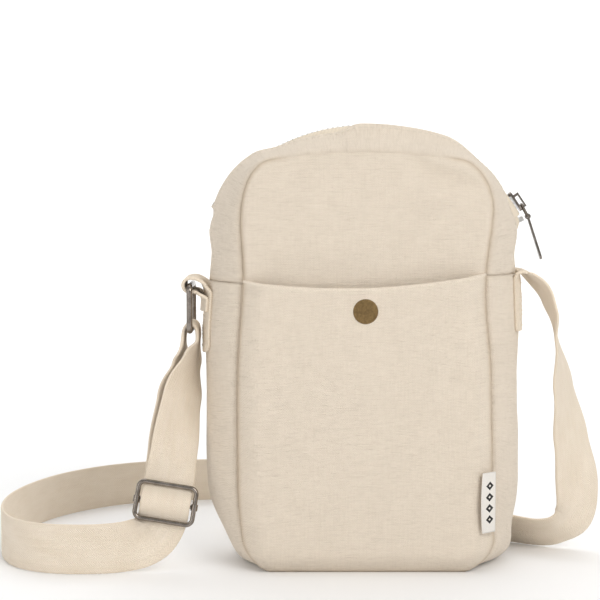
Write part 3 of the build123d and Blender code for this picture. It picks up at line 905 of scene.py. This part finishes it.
def make_tape_end(side, name, top_z):
    """The closed zip's two tapes, seen between the strips below the mouth."""
    swell = zip_swell(middle_over)
    rows = (np.sign(middle_over[:, 0]) == side) & (middle_over[:, 1] < top_z)
    half = np.array([0.4, 1.0, 3.5, 5.2, 6.2, 7.2, 9.0, 11.5])
    y = np.concatenate([-half[::-1], [0], half])
    depth = np.interp(abs(y), (0, 0.4, 1.0, 3.5, 5.2, 6.2, 7.2, 11.5),
                      (1.5, 1.1, 1.0, 1.1, 1.5, 2.9, 3.3, 3.4))
    points = gusset_points(panel_over[rows], middle_over[rows], y / SEAM_Y, swell[rows])
    points = points - outward(points, grid_normals(points)) * depth[None, :, None]
    # Near the middle they rise to the end of the teeth.
    away = points[..., ::2] - (0, ARC_Z)
    radius = np.linalg.norm(away, axis=2)
    elevation = np.degrees(np.arctan2(away[..., 1], abs(away[..., 0])))
    # At the left, where the slider arrives, they lie lower instead.
    if side > 0:
        rise = np.clip(ARC_R - 1.4 - radius, 0, None) * smooth_step((elevation - 25.5) / 3.5)
    else:
        rise = -2.8 * smooth_step((elevation - 26) / 4)
    rise = rise * smooth_step((5.6 - abs(y)) / 2.4)[None, :]
    points[..., ::2] += away / radius[..., None] * rise[..., None]
    piece = grid_piece(name, points, uv_grid(y, path_lengths(middle_over[rows])), flip=True)
    thicken(piece, TAPE_THICK)
    finish_piece(piece, zip_tape, "bag")


make_tape_end(1, "zip_tape_end_right", 180.5)
make_tape_end(-1, "zip_tape_end_left", 181.0)


# ---- strap ----

def by_buckle(up, front):
    return tuple(BUCKLE + BUCKLE_UP * up + BUCKLE_FRONT * front)


ACROSS = tuple(BUCKLE_ACROSS)
DOWN = (0.0, 0.0, -1.0)
FLOOR_STRAP_Z = 12.8     # the webbing stands on its edge on the floor
FLOOR_RUN = ((-16, 46.5), (-48, 50), (-66, 63), (-60, 82), (-32, 90), (8, 88), (42, 91), (61, 106),
             (50, 126), (20, 135), (-22, 139), (-62, 140), (-101, 137), (-138, 127), (-169, 99),
             (-186, 61), (-191, 22), (-182, -15), (-163, -32), (-140, -35.5))
# A point of the strap's route and the direction of the webbing's width there.
STRAP = [
    ((82.2, 0, 148.6), (0, 1, 0)),
    ((90, 0.5, 143.5), (-0.25, 0.97, 0)),
    ((96.5, 2, 131), (-0.1, 1, 0)),
    ((100, 5, 114), (0.17, 0.98, 0)),
    ((104.5, 8, 88), (0.52, 0.85, 0)),
    ((109.5, 11, 60), (0.80, 0.60, 0)),
    ((113.5, 11.5, 37), (0.94, 0.34, 0)),
    ((113, 11, 18), (0.80, 0.40, -0.40)),
    ((100, 12, 9.4), (0.25, 0.66, -0.70)),
    ((82, 22, 9.6), (0.05, 0.72, -0.69)),
    ((56, 42, 11.4), (0, 0.55, -0.83)),
    ((22, 48, 12.9), (0, 0.1, -1)),
    *[((x, y, FLOOR_STRAP_Z), DOWN) for x, y in FLOOR_RUN],
    ((-120, -31.5, 12.9), (0.30, 0, -0.95)),
    ((-106.5, -25.5, 15.5), (0.85, 0, -0.5)),
    (by_buckle(-9.25, -3.9), ACROSS),
    (by_buckle(0, 4.7), ACROSS),
    (by_buckle(9.25, -3.9), ACROSS),
    (by_buckle(26, -2), (0.92, 0.38, -0.1)),
    ((-92, -9, 86), (0.72, 0.69, 0)),
    ((-86.6, -2, 104.5), (0.33, 0.94, 0)),
    ((-83.7, 0, 113.5), (0, 1, 0)),
    ((-84.4, 0, 122.4), (0, 1, 0)),
    ((-90.6, 0, 122.4), (0, 1, 0)),
    ((-91.6, 0, 113), (0, 1, 0)),
    ((-93.3, 0.6, 101.5), (0.25, 0.97, 0)),
    ((-95.6, -4.5, 84), (0.68, 0.73, 0)),
    ((-97.3, -13, 58.5), (0.92, 0.38, -0.1)),
    (by_buckle(9.6, -5.9), ACROSS),
    (by_buckle(3, -2.3), ACROSS),
]
WEBBING_HALF = 12.5
WEBBING_THICK = 1.6
TAIL = 44.0              # the last stretch, which follows the buckle


def route_line(route):
    """The strap's smooth middle line and the width's direction at each of its points."""
    curve = bpy.data.curves.new("route", "CURVE")
    curve.dimensions = "3D"
    curve.resolution_u = 24
    spline = curve.splines.new("NURBS")
    spline.points.add(len(route) - 1)
    for point, (place, wide) in zip(spline.points, route):
        point.co = (*[c * MM for c in place], 1)
    spline.order_u = 3
    spline.use_endpoint_u = True
    holder = bpy.data.objects.new("route", curve)
    bpy.context.scene.collection.objects.link(holder)
    bpy.context.view_layer.update()
    mesh = bpy.data.meshes.new_from_object(holder)
    line = np.array([v.co for v in mesh.vertices], float) / MM
    bpy.data.objects.remove(holder)
    bpy.data.meshes.remove(mesh)
    bpy.data.curves.remove(curve)
    if np.linalg.norm(line[0] - route[0][0]) > np.linalg.norm(line[-1] - route[0][0]):
        line = line[::-1]
    spans = len(route) - 2
    at = np.clip(np.linspace(0, spans, len(line)) + 0.5, 0, len(route) - 1)
    at[0], at[-1] = 0, len(route) - 1
    index = np.minimum(at.astype(int), len(route) - 2)
    ease = smooth_step(at - index)[:, None]
    widths = np.array([w for _, w in route], float)
    wide = widths[index] * (1 - ease) + widths[index + 1] * ease
    return line, wide


def squared(line, wide):
    """The width's direction made square to the line, and the direction out of the face."""
    along = unit(np.gradient(line, axis=0))
    wide = unit(wide - along * (wide * along).sum(1, keepdims=True))
    return wide, np.cross(along, wide)


def band_section(half, thick):
    """Half of a flat band's section, rounded at the edge, as (across, out) from -half to half."""
    t = thick / 2
    return [(-half, 0), (-half + 0.16, 0.55 * t), (-half + 0.55, 0.88 * t), (-half + 1.2, 0.97 * t),
            (-half * 0.5, t), (0, t), (half * 0.5, t), (half - 1.2, 0.97 * t),
            (half - 0.55, 0.88 * t), (half - 0.16, 0.55 * t), (half, 0)]


def band(name, line, wide, half, thick, start=0.0, caps=(True, True)):
    """A flat woven band that follows a line. Its UV is across and along it."""
    wide, out = squared(line, wide)
    upper = band_section(half, thick)
    lower = [(a, -b) for a, b in upper[-2:0:-1]]
    section = np.array(upper + lower)
    points = (line[:, None] + wide[:, None] * section[None, :, :1] + out[:, None] * section[None, :, 1:])
    uv = uv_grid(section[:, 0], path_lengths(line) + start)
    rows, cols = points.shape[:2]
    faces = grid_faces(rows, cols, wrap=True)
    if caps[0]:
        faces.append(tuple(range(cols))[::-1])
    if caps[1]:
        faces.append(tuple((rows - 1) * cols + c for c in range(cols)))
    return mesh_piece(name, points.reshape(-1, 3), faces, uv.reshape(-1, 2))


strap_line, strap_wide = route_line(STRAP)
strap_reach = path_lengths(strap_line)
strap_length = strap_reach[-1]
stations = np.linspace(0, strap_length, int(strap_length / 1.8))
even_line = at_lengths(strap_line, strap_reach, stations)
even_wide = at_lengths(strap_wide, strap_reach, stations)
body_end = int(np.searchsorted(stations, strap_length - TAIL))
strap = band("strap_webbing", even_line[:body_end + 1], even_wide[:body_end + 1], WEBBING_HALF,
             WEBBING_THICK, caps=(True, False))
finish_piece(strap, webbing,
             stands_for=("strap_right", "strap_floor", "strap_left"))
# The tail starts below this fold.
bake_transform(strap)
tail = band("strap_tail", even_line[body_end:], even_wide[body_end:], WEBBING_HALF,
            WEBBING_THICK, start=stations[body_end], caps=(False, True))
finish_piece(tail, webbing, stands_for=("strap_end_layer",))
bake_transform(tail)


# ---- webbing sewn to the gusset ----

def skin_x(side, y, z):
    """The gusset's outer X at each y (columns) and z (rows)."""
    points = gusset_skin[0]
    found = []
    on_side = (np.sign(points[:, points.shape[1] // 2, 0]) == side) & (points[:, 0, 2] > 40)
    rows = points[on_side]
    if rows[0, 0, 2] > rows[-1, 0, 2]:
        rows = rows[::-1]
    for height in np.atleast_1d(z):
        xs = [np.interp(height, rows[:, k, 2], rows[:, k, 0]) for k in range(rows.shape[1])]
        ys = [np.interp(height, rows[:, k, 2], rows[:, k, 1]) for k in range(rows.shape[1])]
        found.append(np.interp(y, ys, xs))
    return np.array(found)


def sewn_webbing(name, side, path, node, round_end):
    """Webbing along a path of (x, z, share): it follows the gusset's curve by that share."""
    line, wide = route_line([((x, 0.0, z), (0.0, 1.0, share)) for x, z, share in path])
    reach = path_lengths(line)
    corner = np.clip(round_end - reach, 0, None)
    half = WEBBING_HALF - round_end + np.sqrt(np.clip(round_end**2 - corner**2, 0, None))
    across = np.concatenate([[-1, -0.985, -0.95], np.linspace(-0.88, 0.88, 15), [0.95, 0.985, 1]])
    y = half[:, None] * across[None, :]
    share = wide[:, 2]
    bulge = np.stack([skin_x(side, y[k], line[k, 2])[0] - skin_x(side, 0.0, line[k, 2])[0]
                      for k in range(len(line))])
    x = line[:, :1] + bulge * share[:, None]
    z = np.broadcast_to(line[:, 2:], x.shape)
    uv = np.stack([y, np.broadcast_to(reach[:, None], y.shape)], 2)
    piece = grid_piece(name, np.stack([x, y, z], 2), uv)
    thicken(piece, WEBBING_THICK, offset=0.0)
    return finish_piece(piece, webbing, "bag", (node,))


BOX_POINTS = 140


def sewn_stitches(name, side, off, low, high, half=9.6):
    """A box of stitches with a cross in it, on webbing that stands this far off the gusset."""
    corners = [(-half, low), (half, low), (half, high), (-half, high), (-half, low), (half, high)]
    route = evenly(np.array(corners, float), BOX_POINTS)
    route = np.concatenate([route, evenly(np.array([(half, low), (-half, high)], float), 40)])
    spots = []
    for y, z in route:
        spots.append((skin_x(side, np.array([y]), z)[0, 0] + side * off, y, z))
    spots = np.array(spots)
    out = np.tile((float(side), 0.0, 0.0), (len(spots), 1))
    out[:, 1] = spots[:, 1] / SEAM_Y
    box = slice(0, BOX_POINTS)
    cross = slice(BOX_POINTS, None)
    for ending, part in (("", box), ("_cross", cross)):
        row = stitch_row(name + ending, spots[part], out[part], "webbing", pitch=2.6)
        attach(row, "bag")


OFF_SKIN = WEBBING_THICK / 2 + 0.15


def on_skin(side, z, off):
    return float(skin_x(side, np.array([0.0]), z)[0, 0]) + side * off


LOOP_R = 3.4
tab_path = [(on_skin(-1, z, OFF_SKIN), z, 1.0) for z in np.linspace(108, 138, 11)]
tab_path += [(-81.2, 142.5, 0.5), (-83.4, 145.6, 0.0)]
tab_path += [(RING_X + LOOP_R * math.cos(a) * 1.08, LOOP_Z + LOOP_R * math.sin(a) * 1.08, 0.0)
             for a in np.radians((100, 140, 180, 220, 262, 300))]
tab_path += [(-84.0, 138.3, 0.2)]
tab_path += [(on_skin(-1, z, OFF_SKIN + 1.75), z, 1.0) for z in (135.5, 132.5, 129.0)]
sewn_webbing("tab_webbing", -1, tab_path, "left_tab", 5.0)
sewn_stitches("tab_stitches", -1, OFF_SKIN + WEBBING_THICK / 2, 111.0, 126.5)

patch_path = [(on_skin(1, z, OFF_SKIN), z, 1.0) for z in np.linspace(119, 145, 10)]
patch_path += [(79.0, 148.0, 0.6), (80.4, 149.3, 0.2), (82.6, 148.7, 0.0)]
sewn_webbing("patch_webbing", 1, patch_path, "strap_end_patch", 1.5)
sewn_stitches("patch_stitches", 1, OFF_SKIN + WEBBING_THICK / 2, 121.5, 143.0)


# ---- folded tag in the side seam ----

TAG_SEWN = np.array([64.6, -32.6])       # X and Y of its sewn edge
TAG_AHEAD = np.array([-0.7815, -0.624])  # towards its folded edge
TAG_FACE = np.array([0.624, -0.7815])
TAG_MIDDLE_Z = 36.5


def make_tag():
    t = np.linspace(-1, 1, 33)
    width = 9.9 * (0.86 + 0.14 * np.cos(t * math.pi / 2))
    bend = 0.55 * np.cos(t * math.pi / 2) - 0.25
    fold = 0.42
    columns = []
    for share in np.linspace(0, 1, 12):
        columns.append((share * (width - fold), np.full_like(t, fold), share * 10))
    for a in np.radians((60, 30, 0, -30, -60)):
        columns.append((width - fold + fold * math.cos(a), np.full_like(t, fold * math.sin(a)), 10.5))
    for share in np.linspace(1, 0, 12):
        columns.append((share * (width - fold), np.full_like(t, -fold), 11 + (1 - share) * 10))
    points, uv = [], []
    for ahead, out, u in columns:
        curl = bend * (ahead / 10) ** 1.5
        spot = TAG_SEWN + ahead[:, None] * TAG_AHEAD + (out + curl)[:, None] * TAG_FACE
        points.append(np.stack([spot[:, 0], spot[:, 1], TAG_MIDDLE_Z + 15 * t], 1))
        uv.append(np.stack([np.full_like(t, u), 15 * t], 1))
    piece = grid_piece("tag_cloth", np.stack(points, 1), np.stack(uv, 1), flip=True)
    thicken(piece, 0.3)
    finish_piece(piece, tag_cotton, "bag", ("side_tag",))


make_tag()


# ---- snap cap: a domed disc with a rolled rim ----

CAP_PROFILE = ((0.0, 37.42), (1.6, 37.42), (3.4, 37.38), (4.6, 37.30), (5.1, 37.34), (5.6, 37.50),
               (6.0, 37.40), (6.22, 37.08), (6.22, 36.75), (5.9, 36.45), (3.0, 36.42), (0.0, 36.42))


def make_cap():
    corners = np.array([nodes["snap_cap"].matrix_world @ v.co for v in nodes["snap_cap"].data.vertices]) / MM
    middle = (corners.min(0) + corners.max(0)) / 2
    turns = np.linspace(0, math.tau, 64, endpoint=False)
    points = np.array([[(middle[0] + r * math.cos(a), -y, middle[2] + r * math.sin(a)) for a in turns]
                       for r, y in CAP_PROFILE])
    rows, cols = points.shape[:2]
    piece = mesh_piece("snap_cap_disc", points.reshape(-1, 3), grid_faces(rows, cols, wrap=True))
    weld(piece, 0.001)
    finish_piece(piece, brass, "pocket", ("snap_cap",))


make_cap()


# ---- materials of the CAD pieces that stay ----

CAD_FINISH = {
    silver: ("zip_end_stop", "snap_socket", "snap_rivet", "snap_stud", "snap_backing"),
    gunmetal: ("zip_slider", "pull_link", "pull_tab", "strap_ring", "buckle_frame", "buckle_bar"),
}
for material, names in CAD_FINISH.items():
    for name in names:
        mesh = nodes[name].data
        mesh.materials.clear()
        mesh.materials.append(material)

# ---- floor, light, camera ----

def backdrop():
    """A pale floor that curves up into a wall."""
    rows = [(-3.0, 0.0), (1.2, 0.0)]
    rows += [(1.2 + math.sin(a) * 0.8, 0.8 - math.cos(a) * 0.8) for a in np.linspace(0, math.pi / 2, 14)[1:]]
    rows += [(2.0, 3.5)]
    points = [(x * 1000, y * 1000, z * 1000) for y, z in rows for x in (-3.5, 3.5)]
    faces = [(2 * k, 2 * k + 1, 2 * k + 3, 2 * k + 2) for k in range(len(rows) - 1)]
    floor = mesh_piece("studio_floor", points, faces)
    shader = Shader("studio_white", roughness=0.85)
    place = shader.node("TexCoord").outputs["Object"]
    tone = shader.ramp(shader.noise(place, 3.0), (0.3, 0.93), (0.7, 0.94))
    floor.data.materials.append(shader.use(Base_Color=tone))


def area_light(name, place, target, size, power, colour=(1, 1, 1)):
    lamp = bpy.data.lights.new(name, "AREA")
    lamp.shape = "RECTANGLE"
    lamp.size, lamp.size_y = size
    lamp.energy = power
    lamp.color = colour
    holder = bpy.data.objects.new(name, lamp)
    holder.location = place
    aim = Vector(target) - Vector(place)
    holder.rotation_euler = aim.to_track_quat("-Z", "Y").to_euler()
    bpy.context.scene.collection.objects.link(holder)


backdrop()
area_light("key", (0.9, -1.2, 1.1), (0, 0, 0.1), (1.0, 0.9), 13.8, (1.0, 0.985, 0.965))
area_light("fill", (-1.3, -1.2, 0.6), (0, 0, 0.1), (1.4, 1.2), 7.5, (1.0, 0.985, 0.965))
area_light("top", (0.0, 0.5, 1.7), (0, 0.1, 0.0), (1.6, 1.6), 9)
area_light("wall", (0.0, 1.1, 1.5), (0, 2.0, 0.5), (3.0, 0.8), 16)
# Colours are shown as they are set, with no film curve over them.
bpy.context.scene.view_settings.view_transform = "Standard"

world = bpy.data.worlds.new("studio")
world.use_nodes = True
world.node_tree.nodes["Background"].inputs["Color"].default_value = (1, 1, 1, 1)
world.node_tree.nodes["Background"].inputs["Strength"].default_value = 0.50
bpy.context.scene.world = world

CAMERA_DIP = 4.84        # degrees below level
lens = bpy.data.cameras.new("camera")
lens.lens = 92
lens.sensor_width = 36
camera = bpy.data.objects.new("camera", lens)
camera.location = (-0.032, -0.781, 0.200)
camera.rotation_euler = (math.radians(90 - CAMERA_DIP), 0, 0)
bpy.context.scene.collection.objects.link(camera)
bpy.context.scene.camera = camera
